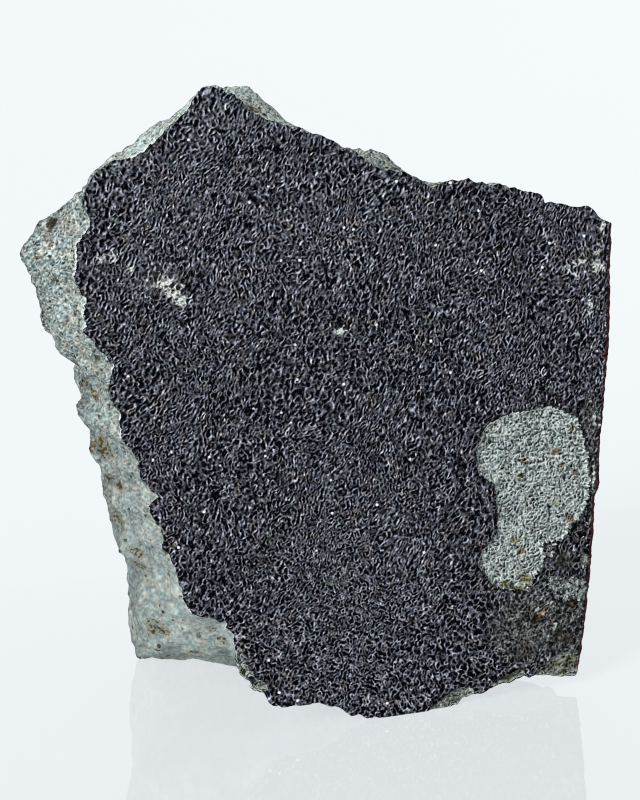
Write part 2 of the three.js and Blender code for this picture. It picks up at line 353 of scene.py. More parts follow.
# Spots where the finish changes, in the same form. Worn ones show pale rock on the crust's ridges, in
# scuffed ones the crust is thin and its ridges are gone, and at fresh ones the rock is crushed white along
# the crust's edge. The rest are stains: rusty and dark ones of weathered metal, speckled ones that are
# clumps of specks, and olive ones of olivine.
marks = {
    "worn": [
        (-25.5, -12.5, 51.2, 0.9, 0.7, 0.9), (-24.3, -12.5, 51, 0.8, 1, 0.9),
        (-22.6, -12.6, 49.9, 0.8, 1.1, 0.8), (-19.2, -12.8, 48, 1.5, 1.1, 1),
        (-18.3, -12.8, 46.9, 1.1, 1.5, 1), (-17.5, -12.9, 46, 1.2, 1, 1),
        (-20.3, -12.8, 48.2, 2.8, 1.7, 0.5), (-17.3, -12.9, 47.6, 0.8, 0.6, 0.7),
        (-0.7, -13.3, 41.3, 1, 0.6, 0.95), (-9.2, -13.2, 42.8, 0.5, 0.5, 0.7),
        (14.7, -13.2, 35.4, 0.8, 0.8, 0.6), (28.4, -12.4, 49, 1.3, 1.1, 0.7),
        (28.1, -12.5, 44.9, 1.3, 1.1, 1), (26, -12.6, 45.6, 1.4, 0.7, 0.9),
        (24.6, -12.6, 45.1, 1, 0.6, 0.75), (25.4, -12.6, 44.2, 1, 0.8, 0.8),
        (28, -12.4, 46.4, 1.1, 0.5, 0.8), (27.2, -12.6, 41.1, 0.6, 0.8, 0.9),
        (27, -12.6, 40.1, 1, 0.5, 0.85), (28.3, -12.5, 43.6, 0.9, 0.5, 0.6), (27, -12.5, 46, 3.4, 4, 0.4),
        (27.9, -12.7, 28.3, 0.6, 0.7, 0.7), (25, -12.9, 4.1, 0.6, 0.4, 0.8), (23.4, -13, 7, 0.6, 0.7, 0.8),
        (22.6, -13, 6.3, 0.6, 0.6, 0.6), (23, -13, 9.6, 1.1, 0.9, 0.6), (23.6, -13, 7.1, 0.5, 0.9, 1),
        (21.9, -13, 9, 1, 0.9, 0.9), (27.9, -12.8, 29.2, 0.5, 0.7, 1), (27.8, -12.8, 22.6, 0.25, 2.2, 1.2),
    ],
    "fresh": [
        (16, -13.2, 30, 1.8, 1.4, 1.8), (19, -13.2, 30.7, 2, 1, 1.8), (22.8, -13, 30.8, 1.6, 0.8, 0.9),
        (-24.3, -12.5, 35, 1.5, 1.4, 2),
    ],
    "scuffed": [
        (24.6, -12.9, 14, 1.8, 1.5, 1), (24.5, -12.9, 8.8, 3.6, 2.6, 1.2), (24.2, -13, 5.6, 4, 2.8, 1),
        (20.2, -13, 7.6, 6, 5.2, 0.95), (20.6, -13, 5, 3, 2.4, 0.6), (27.2, -12.7, 29, 1.4, 3, 0.9),
        (27.8, -12.7, 22, 0.9, 7, 0.9), (27.2, -12.5, 45.5, 2.2, 3, 0.6),
        (25.6, -12.9, 28.6, 1.8, 1.4, 0.7), (-19.5, -12.8, 48, 3.6, 2.6, 0.5),
    ],
    "rusty": [
        (24.2, -12.9, 24.3, 0.7, 0.5, 1.5), (23.6, -12.9, 25.9, 0.9, 0.5, 1.6),
        (25.8, -12.8, 23.4, 0.7, 0.5, 1.3), (25.4, -12.8, 18.5, 0.8, 0.8, 1.5),
        (19.7, -12.9, 15.7, 0.7, 0.5, 1.2), (24.8, -12.9, 28.3, 0.4, 0.5, 0.9),
        (21.5, -13, 8.5, 0.7, 0.7, 1.5), (22.1, -13, 9.1, 0.6, 0.5, 1.4), (25.4, -12.9, 9.1, 1.1, 0.5, 1),
        (25, -12.9, 5.5, 0.9, 0.8, 0.7), (20, -13, 4.8, 2, 1.6, 0.65), (28.5, -12.5, 46.1, 0.8, 0.4, 0.9),
        (-28.7, -11, 49.4, 0.5, 0.5, 0.6), (-27.6, -11.5, 51.9, 0.6, 0.6, 0.8),
        (-25.9, -9.6, 57.5, 0.5, 0.5, 1), (21.1, -12.9, 27.4, 0.4, 0.4, 0.8),
        (16, -12.9, 27.9, 0.4, 0.4, 0.7),
    ],
    "dark": [
        (21, -13, 8.1, 0.5, 0.5, 1.2), (24.4, -13, 14.4, 2.2, 2, 0.6), (24.3, -13, 6, 2.6, 2.6, 0.5),
        (24.2, -13, 6.4, 0.5, 0.9, 0.9), (27, -12.5, 46.2, 2.4, 1.5, 0.5),
        (22.5, -12.9, 29.3, 0.35, 1.2, 1.2), (23, -13, 17.6, 1, 0.7, 0.6),
        (25.7, -12.8, 17.5, 0.7, 0.8, 1.3), (22.3, -12.9, 25.8, 0.4, 0.4, 1.2),
        (24.3, -12.9, 23.7, 0.6, 0.35, 1.2), (25, -12.9, 26.3, 0.4, 0.5, 1.3),
        (25.9, -12.8, 27.6, 0.4, 0.6, 1), (18.2, -12.9, 30.2, 0.3, 0.5, 1.3),
        (15.9, -12.9, 27.9, 0.4, 0.5, 1.2), (18.6, -12.9, 12.2, 0.35, 0.7, 1.4),
        (23.9, -13, 6.3, 0.45, 0.9, 1.1), (-28.6, -7.1, 53.6, 0.9, 0.9, 1.4),
        (-30.7, -6.6, 50.8, 0.9, 0.9, 0.6), (-29.2, -8.3, 48.3, 0.6, 0.6, 1),
        (-27.9, -10.2, 46.9, 0.5, 0.5, 1), (-28.5, -8.1, 44.1, 0.6, 0.6, 0.8),
        (-29.9, -7.5, 51.1, 0.5, 0.5, 0.9), (-19.9, -9, 20, 0.7, 0.6, 0.8),
        (-12.9, -10.9, 10.1, 0.6, 0.5, 0.8), (-8, -11.8, 63.6, 0.55, 0.3, 1.3),
        (-9.4, -10, 64.8, 1, 0.2, 0.8), (21, -12.9, 26.9, 0.4, 0.4, 0.9),
        (22.6, -12.9, 21.3, 0.4, 0.7, 0.8), (24.6, -12.9, 2.6, 1.6, 1, 0.6),
    ],
    "speckled": [
        (-26, -6.6, 38.9, 1, 0.7, 0.8), (-24.5, -4.6, 36.2, 1.2, 0.8, 0.6),
        (-24.1, -6.5, 35.6, 1.3, 0.8, 0.8), (-23.2, -5.8, 29.8, 2.2, 1.6, 0.75),
        (-22, -4.2, 26.2, 1.2, 1, 0.7), (-21.6, -6, 25.9, 1.2, 0.7, 0.8),
        (-21.2, -4.6, 21.8, 1.3, 1.8, 0.6), (-20, -6.1, 18.6, 1.3, 1, 0.75),
        (-19.2, -5.3, 16.9, 1.7, 0.7, 0.7), (-19.3, -3.9, 13.3, 0.8, 1, 0.4),
        (-17.3, -5.2, 10, 2.2, 1.5, 0.65), (-13.6, -5.4, 7, 1, 0.6, 0.8),
        (-13.9, -11.3, 11.4, 0.9, 0.6, 0.5), (-12.7, -11.1, 9.9, 1.1, 0.8, 0.7),
        (-9.3, -11.4, 64.1, 0.9, 0.6, 0.8),
    ],
    "olive": [
        (17.8, -12.9, 12.5, 0.7, 0.6, 1.2), (20.1, -12.9, 12.7, 0.8, 0.6, 1.4),
        (19.3, -12.9, 11.7, 0.8, 0.4, 1.3), (18.9, -12.9, 17, 0.9, 0.5, 1),
        (19.4, -12.9, 23.8, 0.6, 0.4, 0.8), (20.5, -12.9, 18.4, 0.7, 0.4, 0.8),
        (23.4, -12.9, 20.3, 1.2, 0.9, 0.6), (23.9, -12.9, 3, 1.3, 0.8, 0.8),
        (25.2, -12.9, 2.3, 1.5, 1, 0.7), (23.1, -12.9, 2.5, 1.3, 0.7, 0.8), (18, -12.9, 2.2, 1.6, 0.8, 0.9),
        (12, -12.9, 0.8, 1.6, 0.8, 0.5), (25.4, -12.9, 3, 1.8, 1.3, 0.8),
        (14.7, -13.1, 28.2, 0.5, 0.6, 0.8),
    ],
}


def alongLine(points, count):
    # count + 1 points at equal steps along an open line of corners
    points = np.array(points, float)
    length = np.r_[0, np.cumsum(np.linalg.norm(np.diff(points, axis=0), axis=1))]
    at = np.linspace(0, length[-1], count + 1)
    return np.stack([np.interp(at, length, points[:, k]) for k in (0, 1)], 1)


def outlineAt(outline, angle):
    # the point where a ray from the heart, at each angle, meets a closed outline of straight edges
    heart = np.array(stone["heart"])
    a = np.array(outline, float) - heart
    edge = np.roll(a, -1, axis=0) - a
    ray = np.stack([np.cos(angle), np.sin(angle)], 1)[:, None]
    cross = ray[..., 0] * edge[:, 1] - ray[..., 1] * edge[:, 0]
    out = (a[:, 0] * edge[:, 1] - a[:, 1] * edge[:, 0]) / cross
    share = (a[:, 0] * ray[..., 1] - a[:, 1] * ray[..., 0]) / cross
    out = np.where((share >= 0) & (share <= 1), out, 0).max(axis=1)
    return heart + out[:, None] * ray[:, 0]


def softened(loop, width):
    # a closed line with its waves shorter than about the width, counted in points, taken out
    waves = np.fft.fft(loop[:, 0] + 1j * loop[:, 1])
    waves *= np.exp(-2 * (np.pi * np.fft.fftfreq(len(loop)) * width) ** 2)
    line = np.fft.ifft(waves)
    return np.stack([line.real, line.imag], 1)


def patch(loop, n, m, fade):
    # Coons patch: a grid of (m + 1) by (n + 1) points inside a closed line of 2(n + m) points that starts
    # at the top left and runs down, right, up and back. Each side's line is carried inwards by fade, which
    # is 1 on the side, and what the corners get twice is taken off.
    loop = np.vstack([loop, loop[:1]])
    left, low = loop[: m + 1][::-1], loop[m : m + n + 1]
    right, top = loop[m + n : 2 * m + n + 1], loop[2 * m + n :][::-1]
    u, v = np.linspace(0, 1, n + 1), np.linspace(0, 1, m + 1)
    fromLeft, fromRight = fade(u)[None, :, None], fade(1 - u)[None, :, None]
    fromLow, fromTop = fade(v)[:, None, None], fade(1 - v)[:, None, None]
    grid = fromLow * low[None] + fromTop * top[None] + fromLeft * left[:, None] + fromRight * right[:, None]
    lowCorners = fromLeft * low[0] + fromRight * low[-1]
    topCorners = fromLeft * top[0] + fromRight * top[-1]
    return grid - (fromLow * lowCorners + fromTop * topCorners)


def fadeEven(t):
    # straight from 1 on a side to 0 on the side across from it
    return 1 - t


def fadeQuick(t):
    # from 1 on a side to 0 a short way in, by the square of the way that is left
    return np.clip(1 - t * stone["nickReach"], 0, 1) ** 2


def frontDepth(x, z):
    # a very flat dome: y grows with the square of the way from the crown
    (cx, cz), (hx, hz) = stone["crown"], stone["crownHalf"]
    return stone["frontY"] + stone["frontFall"] * (((x - cx) / hx) ** 2 + ((z - cz) / hz) ** 2)


def backDepth(x, z, share):
    # the back leans, swells in the middle and has its scoops; share is 0 in the middle and 1 at the rim
    y = stone["backFootY"] - stone["backLean"] * z + stone["backSwell"] * (1 - share**2)
    for sx, sz, radius, depth in stone["scoops"]:
        away = np.minimum(np.hypot(x - sx, z - sz) / radius, 1)
        y = y - depth * (1 - away**2) ** 2 * (1 - share**6)
    return y


def edgeDistance(x, z, outline):
    # distance in mm to a closed outline of straight edges, positive inside it
    tiny = 1e-12
    a = np.array(outline, float)
    b = np.roll(a, -1, axis=0)
    px, pz = x[:, None] - a[:, 0], z[:, None] - a[:, 1]
    ex, ez = (b - a).T
    along = np.clip((px * ex + pz * ez) / (ex**2 + ez**2 + tiny), 0, 1)
    distance = np.hypot(px - along * ex, pz - along * ez).min(axis=1)
    between = (a[:, 1] > z[:, None]) != (b[:, 1] > z[:, None])
    crosses = between & (px < ex * pz / np.where(ez == 0, tiny, ez))
    return np.where(crosses.sum(axis=1) % 2, distance, -distance)


def frontRim():
    # the four edges joined into one closed line, moved a little in x and z by noise, which makes its nicks
    s = stone
    edges = (leftEdge, s["up"]), (lowerEdge, s["across"]), (rightEdge, s["up"]), (upperEdge, s["across"])
    rim = np.vstack([alongLine(line, count)[:-1] for line, count in edges])
    place = np.c_[rim[:, 0], np.zeros(len(rim)), rim[:, 1]]
    nicks = [layered(place, s["nickGrain"], 2, s["nickShare"], start) for start in s["nickStarts"]]
    depth = ramp(rim[:, 0], *s["wornFrom"], *s["nickDepths"])
    return rim + depth[:, None] * np.stack(nicks, 1)


def ribPoint(t, rim, middle, rear):
    # the point at the share t of the way through the slab, on the broken line from the front rim to the
    # waist and on to the back rim, which is rounded by taking its mean over a short stretch
    bend, reach = stone["waistShare"], stone["waistRound"]
    near = np.linspace(t - reach, t + reach, stone["roundSamples"])
    front = np.clip(1 - near / bend, 0, None).mean() if t > reach else 1 - t / bend
    back = np.clip((near - bend) / (1 - bend), 0, None).mean()
    xz = front * rim + (1 - front - back) * middle + back * rear
    return xz, (1 - t) * frontDepth(*xz.T) + t * backDepth(*xz.T, 1.0)


def strip(above, below):
    # the faces between two closed rows of points
    return np.stack([below, np.roll(below, -1), np.roll(above, -1), above], 1)


def stoneNet():
    # The net of points and faces. The front and the back are patches, and the side is ribs between their
    # rims, each straight from the front rim to the waist and straight on to the back rim. Each point's
    # share is 0 on the front, how far through the slab it lies on the side, and 2 on the back.
    s = stone
    n, m = s["across"], s["up"]
    rim = frontRim()
    smooth = softened(rim, s["softWidth"])
    angle = np.unwrap(np.arctan2(*(smooth - np.array(s["heart"])).T[::-1]))
    middle, rear = outlineAt(waist, angle), outlineAt(backRim, angle)
    points, faces, shares = [], [], []

    def addPoints(xz, y, share):
        # takes points in and gives their numbers back
        start = sum(len(row) for row in points)
        points.append(np.c_[xz[:, 0], y, xz[:, 1]])
        shares.append(np.full(len(xz), share))
        return start + np.arange(len(xz))

    grid = patch(smooth, n, m, fadeEven) + patch(rim - smooth, n, m, fadeQuick)
    flat = grid.reshape(-1, 2)
    index = addPoints(flat, frontDepth(*flat.T), 0.0).reshape(m + 1, n + 1)
    corners = [index[:-1, :-1], index[:-1, 1:], index[1:, 1:], index[1:, :-1]]
    faces.append(np.stack(corners, -1).reshape(-1, 4))
    ring = np.r_[index[::-1, 0][:-1], index[0, :-1], index[:-1, -1], index[-1, ::-1][:-1]]

    for t in np.linspace(0, s["fineShare"], s["fineRows"] + 1)[1:]:
        below = addPoints(*ribPoint(t, rim, middle, rear), t)
        faces.append(strip(ring, below))
        ring = below
    # from here on only every second rib goes on, and three triangles close each gap
    ends = rim[::2], middle[::2], rear[::2]
    first, *others = np.linspace(s["fineShare"], 1, s["sideRows"] + 1)[1:]
    below = addPoints(*ribPoint(first, *ends), first)
    after = np.roll(below, -1)
    odd, even, nextEven = ring[1::2], ring[::2], np.roll(ring[::2], -1)
    triangles = [(even, below, odd), (odd, below, after), (odd, after, nextEven)]
    triangles = np.vstack([np.stack(corners, 1) for corners in triangles])
    ring = below
    for t in others:
        below = addPoints(*ribPoint(t, *ends), t)
        faces.append(strip(ring, below))
        ring = below

    n, m = n // 2, m // 2
    flat = patch(rear[::2], n, m, fadeEven).reshape(-1, 2)
    inner = np.ones((m + 1, n + 1), bool)
    inner[[0, -1]] = inner[:, [0, -1]] = False
    picked = inner.ravel()
    u, v = np.linspace(-1, 1, n + 1)[None], np.linspace(-1, 1, m + 1)[:, None]
    share = ((u**4 + v**4 - (u * v) ** 4) ** 0.25).ravel()
    index = np.zeros((m + 1, n + 1), int)
    index[inner] = addPoints(flat[picked], backDepth(*flat[picked].T, share[picked]), 2.0)
    index[::-1, 0][:-1] = ring[:m]
    index[0, :-1] = ring[m : m + n]
    index[:-1, -1] = ring[m + n : 2 * m + n]
    index[-1, ::-1][:-1] = ring[2 * m + n :]
    corners = [index[:-1, :-1], index[1:, :-1], index[1:, 1:], index[:-1, 1:]]
    faces.append(np.stack(corners, -1).reshape(-1, 4))
    return np.vstack(points), np.vstack(faces), triangles, np.concatenate(shares), rim


def pointNormals(points, quads, triangles):
    # the sum of the face normals round each point, made one long
    total = np.zeros_like(points)
    for c in (quads[:, [0, 1, 2]], quads[:, [0, 2, 3]], triangles):
        a, b, d = points[c[:, 0]], points[c[:, 1]], points[c[:, 2]]
        normal = np.cross(b - a, d - a)
        for k in range(3):
            for axis in range(3):
                total[:, axis] += np.bincount(c[:, k], normal[:, axis], len(points))
    return total / np.linalg.norm(total, axis=1)[:, None]


points, quads, triangles, share, rim = stoneNet()
normals = pointNormals(points, quads, triangles)
print("net:", len(points), "points,", 2 * len(quads) + len(triangles), "triangles")

# How the finish changes over the stone, with its painted light and shade. Rows of four are ramps: from
# where to where, and the value before and after. Pale and level are how light the rock and the level crust
# look, from 0 to 1.
weatheringAndShade = {
    "farthest": 3.0,  # mm from the crust's edge, more isn't told apart
    "flakes": (0.6, 0.05),  # mm past the edge per step of a flake's strength over 1, and the most
    "edgeWaves": (0.8, 0.18),  # mm, size and reach of the waves in the crust's edge
    "rockRelief": (-0.12, 0.2),  # mm past the edge, where the crust's relief gives way to the rock's
    "crush": (1.05, 0.8, 0.4),  # how crushed the grains are: large chip, other chips, back
    "crushSide": (12, 55, 0.06, 0.6),  # and the sides, by height
    "pale": 0.665,
    "paleChips": -0.14,  # added in the other chips
    "paleUp": ((8, 30, 0.05, 0), (58, 62, 0, 0.13)),  # added on the sides and the back, by height: paler low down, a painted light, and paler at the top,
    "shadeThrough": (0.25, 0.4, 0, -0.04),  # and by how far through the slab a point lies, a painted shade where the side turns away towards the outline
    # painted shade: darker still about the waist, where the outline lies, fading out behind it
    "shadeAtWaist": ((0.4, 0.46, 0, -0.1), (0.6, 0.8, 1, 0)),
    "level": 0.215,
    "levelFoot": (6, 18, -0.015, 0),
    "levelUpperLeft": ((38, 56, 0, 0.03), (-6, 14, 1, 0)),  # added, by height and by x
    "sideLighting": (6, 26, 0.45, 1),  # how strongly the crust's ridges get painted light on one side and painted shade on the other, by height
    "freshSide": (20, 45, 0.55, 0.85),  # how white the crust's broken edge is on the sides, by height
    "freshFront": 0.1,
    "rustIn": (-0.5, -0.15, 0, 1),  # mm past the line of the right edge, which has rusted,
    "rustDeep": (0.3, 1.1, 1, 0),  # mm behind the crusted face,
    "rustBetween": (2, 49),  # and the heights that the rust runs between
}


def bareness(points, share, rim):
    # mm past the edge of the crust, positive on bare rock and negative on the crust
    w = weatheringAndShade
    far = w["farthest"]
    x, y, z = points.T
    front, side = share == 0, (share > 0) & (share <= 1)
    fx, fz = x[front], z[front]
    coarseRim = rim[::4]  # near enough, and quicker
    onFront = -np.minimum(edgeDistance(fx, fz, coarseRim), far) - stone["crustThick"]
    for outline in chips:
        onFront = np.maximum(onFront, np.clip(edgeDistance(fx, fz, outline), -far, far))
    step, most = w["flakes"]
    scraps = np.minimum(step * (markField(points[front], flaked) - 1), most)
    bare = np.full(len(points), far)
    bare[front] = np.maximum(onFront, scraps)
    bare[side] = np.minimum(y[side] - frontDepth(x[side], z[side]) - stone["crustThick"], far)
    size, reach = w["edgeWaves"]
    return bare + reach * layered(points, size, 2, start=11.0) * (np.abs(bare) < far)


def markField(points, spots):
    # each spot fades from its strength in the middle to nothing at its edge as 1 - (way / radius)^2, and
    # where spots overlap the stronger one counts
    x, y, z = points.T
    field = np.zeros(len(points))
    for sx, sy, sz, wide, high, strength in spots:
        away = ((x - sx) ** 2 + (y - sy) ** 2) / wide**2 + ((z - sz) / high) ** 2
        field = np.maximum(field, strength * np.clip(1 - away, 0, 1))
    return field


def weatherAndShadeFields(points, share):
    # crush and pale of the rock, which holds painted light and shade, level of the crust, and its painted
    # side light
    w = weatheringAndShade
    x, y, z = points.T
    front = share == 0
    inChip = edgeDistance(x, z, chips[0]) > -1
    large, small, rear = w["crush"]
    crush = np.where(front, np.where(inChip, large, small), ramp(z, *w["crushSide"]))
    crush = np.where(share > 1, rear, crush)
    # painted shade on the sides, darker through the slab and most about the waist
    before, after = (ramp(share, *row) for row in w["shadeAtWaist"])
    behind = sum(ramp(z, *row) for row in w["paleUp"]) + ramp(share, *w["shadeThrough"]) + before * after
    pale = w["pale"] + np.where(front, np.where(inChip, 0, w["paleChips"]), behind)
    byHeight, byX = w["levelUpperLeft"]
    level = w["level"] + ramp(z, *w["levelFoot"]) + ramp(z, *byHeight) * ramp(x, *byX)
    return {"crush": crush, "pale": pale, "level": level, "sideLighting": ramp(z, *w["sideLighting"])}


def rustLine(points):
    # 1 along the right edge, less with the way in from it and with the way behind the crusted face
    w = weatheringAndShade
    x, y, z = points.T
    low, high = w["rustBetween"]
    edge = np.interp(z, *np.array(rightEdge)[:, ::-1].T)
    line = ramp(x - edge, *w["rustIn"]) * (z > low) * (z < high)
    return line * ramp(y - frontDepth(x, z), *w["rustDeep"])


relief = {
    "swell": (7.0, 0.12),  # size and height of the slow waves of the crust, mm
    "lump": (1.5, 0.03),
    "netCell": 0.45,  # mm, the grain of the noise that the crust's ridges follow
    "netLean": 66.0,  # degrees, the ridges run steeply up to the right
    "netDrawn": 0.78,  # below 1 the ridges are drawn out along their run
    "netTurn": (9.0, 0.9),  # size and reach in mm of the waves that turn their run a little
    "netStarts": (80.0, 98.0),
    "drawnOver": 17.0,  # mm, the height over which the melt ran and drew them out
    "drawnFade": 6.0,  # mm
    "ridgeHeight": 0.05,
    "ridgeWidth": 0.7,  # as a share of the noise's height
    "ridgeMean": 0.4,
    "chipDepth": 0.35,
    "breakDepth": 0.12,  # how far the rock lies under the crust's edge on the sides
    "facet": (5.0, 0.5),  # size and height of the broken rock's facets
    "rubble": (2.2, 0.3),
    "knob": (1.25, 0.5),
    "knobMean": 0.25,
    "grain": (0.6, 0.07),
    "rimHold": (3.0, 0.3),  # mm behind the face where the rock's relief is full, and its share at the rim
    "hollow": (-11, -10.4, 6, 4, 2.4),  # under the crust at the lower left: x, y, z, radius, depth
    "drawnAlong": (0.376, 0.885, -0.276),  # the rock's grains are drawn out along this line,
    "drawnShare": 0.5,  # to one over this share
}


def rockPlaces(points):
    # Place in the rock's pattern of grains, pressed to half along one line that runs from front to back.
    # It draws the grains out to twice their size there, so that they look round on the slanting left side.
    along = np.array(relief["drawnAlong"])
    return points - (1 - relief["drawnShare"]) * (points @ along)[:, None] * along


def netPlaces(points):
    # Place in the pattern of ridges, counted in cells: turned along their run, which wanders a little, and
    # pressed together along it, so that the ridges are drawn out. Low down the pressing fades away.
    r = relief
    lean = math.radians(r["netLean"])
    size, far = r["netTurn"]
    x, z = (
        points[:, axis] + far * layered(points, size, 2, start=start)
        for axis, start in zip((0, 2), r["netStarts"])
    )
    across = x * math.sin(lean) - z * math.cos(lean)
    along = x * math.cos(lean) + z * math.sin(lean)
    low = -r["drawnFade"] * np.logaddexp(0, (r["drawnOver"] - along) / r["drawnFade"])
    along = r["netDrawn"] * along + (1 - r["netDrawn"]) * low
    return np.stack([across, points[:, 1], along], 1) / r["netCell"]


def ridges(place):
    # ridges stand where the noise passes through zero, which makes closed, wandering lines
    return np.clip(1 - np.abs(noise(place)) / relief["ridgeWidth"], 0, 1)


def reliefOf(points, share, rock, netPlace, rockPlace):
    # mm along the normal, the crust's waves and ridges or the rock's facets, knobs and grains
    r = relief
    x, y, z = points.T
    crust = (
        r["swell"][1] * layered(points, r["swell"][0])
        + r["lump"][1] * layered(points, r["lump"][0], 2)
        + r["ridgeHeight"] * (ridges(netPlace) - r["ridgeMean"])
    )
    knobs = np.abs(layered(rockPlace, r["knob"][0], 2, 0.4, start=31.0)) - r["knobMean"]
    broken = (
        r["facet"][1] * layered(points, r["facet"][0], 2, 0.4, start=20.0)
        + r["rubble"][1] * layered(rockPlace, r["rubble"][0], 2, 0.5, start=37.0)
        + r["knob"][1] * knobs
        + r["grain"][1] * layered(rockPlace, r["grain"][0], 1, start=45.0)
    )
    # near the front rim the rock's waves fade out, so that the crust's edge keeps its place
    front = share == 0
    far, least = r["rimHold"]
    fromRim = np.where(front, 0, np.clip((y - frontDepth(x, z)) / far, 0, 1))
    broken = broken * (least + (1 - least) * fromRim)
    *middle, radius, depth = r["hollow"]
    away = np.minimum(np.linalg.norm(points - middle, axis=1) / radius, 1)
    broken = broken - depth * (1 - away**2) ** 2 * (share > 0)
    under = np.where(front, r["chipDepth"], r["breakDepth"])
    return (1 - rock) * crust + rock * (broken - under)


bare = bareness(points, share, rim)
rock = smoothStep(*weatheringAndShade["rockRelief"], bare)
netPlace, rockPlace = netPlaces(points), rockPlaces(points)
fields = {"bare": bare, "netPlace": netPlace, "rockPlace": rockPlace, **weatherAndShadeFields(points, share)}
points = points + normals * reliefOf(points, share, rock, netPlace, rockPlace)[:, None]
points[:, 2] = np.maximum(points[:, 2], 0)
print("relief is on")

fields.update({name: markField(points, spots) for name, spots in marks.items()})
fields["oxide"] = rustLine(points)
freshSide = ramp(points[:, 2], *weatheringAndShade["freshSide"])
fields["fresh"] += np.where(share > 0, freshSide, weatheringAndShade["freshFront"])
print("the marks are placed")


def makePiece(name, points, quads, triangles, attributes):
    # one mesh from arrays in mm, with smooth faces and an attribute for each field
    mesh = bpy.data.meshes.new(name)
    mesh.vertices.add(len(points))
    mesh.vertices.foreach_set("co", (points * mm).astype(np.float32).ravel())
    loops = np.r_[quads.ravel(), triangles.ravel()]
    mesh.loops.add(len(loops))
    mesh.loops.foreach_set("vertex_index", loops.astype(np.int32))
    starts = np.r_[np.arange(len(quads)) * 4, len(quads) * 4 + np.arange(len(triangles)) * 3]
    mesh.polygons.add(len(starts))
    mesh.polygons.foreach_set("loop_start", starts.astype(np.int32))
    mesh.update(calc_edges=True)
    mesh.validate()
    mesh.polygons.foreach_set("use_smooth", np.ones(len(starts), bool))
    for key, values in attributes.items():
        vector = values.ndim == 2
        layer = mesh.attributes.new(key, "FLOAT_VECTOR" if vector else "FLOAT", "POINT")
        layer.data.foreach_set("vector" if vector else "value", values.astype(np.float32).ravel())
    piece = bpy.data.objects.new(name, mesh)
    bpy.context.scene.collection.objects.link(piece)
    return piece


# The noises that the material reads: cells to the mm, how far off each is read, so that they differ, and
# its layers past the first. A chondrite's crushed crystals are 0.02 to 0.2 mm, too fine to show, so the
# finest of them are drawn as coarse as 0.2 mm.
patterns = {
    "fine": (5.4, 11.0, 0.0),  # the glass's own mottle
    "smallGrain": (5.0, 5.0, 0.0),
    "softGrain": (3.2, 15.0, 0.0),
    "ragged": (3.0, 71.0, 2.0),  # how the crust's edge and its worn and scuffed places are torn
    "coarseGrain": (2.0, 3.0, 0.0),
    "patchy": (1.3, 21.0, 0.0),
    "hue": (0.7, 41.0, 1.0),
    "blotch": (0.45, 61.0, 1.0),
}

# Round grains: cells to the mm, share of the cells that hold one, radius in cells, tint, how it is laid on
# and how strongly. Chondrules are about 0.7 mm across and metal grains 0.3 to 0.5 mm.
grains = {
    "metalDark": (1.15, 0.26, 0.17, "#403e36", "MULTIPLY", 0.85),
    "rusted": (0.6, 0.3, 0.16, "#96805c", "MULTIPLY", 0.9),
    "chondrule": (0.85, 0.3, 0.3, "#f4f6ee", "MIX", 0.16),
}

# Stains: mark, colour, how it is laid on and how strongly, how far it clumps, and where it starts.
stains = [
    ("speckled", "#d8c096", "MULTIPLY", 0.9, 3.0, 0.7),
    ("speckled", "#8f8065", "MULTIPLY", 1.0, 4.5, 0.9),
    ("dark", "#655c4e", "MULTIPLY", 1.0, 0.0, 0.9),
    ("olive", "#b8ad72", "MULTIPLY", 1.0, 0.0, 0.9),
    ("rusty", "#ae8560", "MULTIPLY", 0.9, 0.0, 0.9),
    ("oxide", "#351417", "MIX", 0.92, 0.0, 0.9),
]

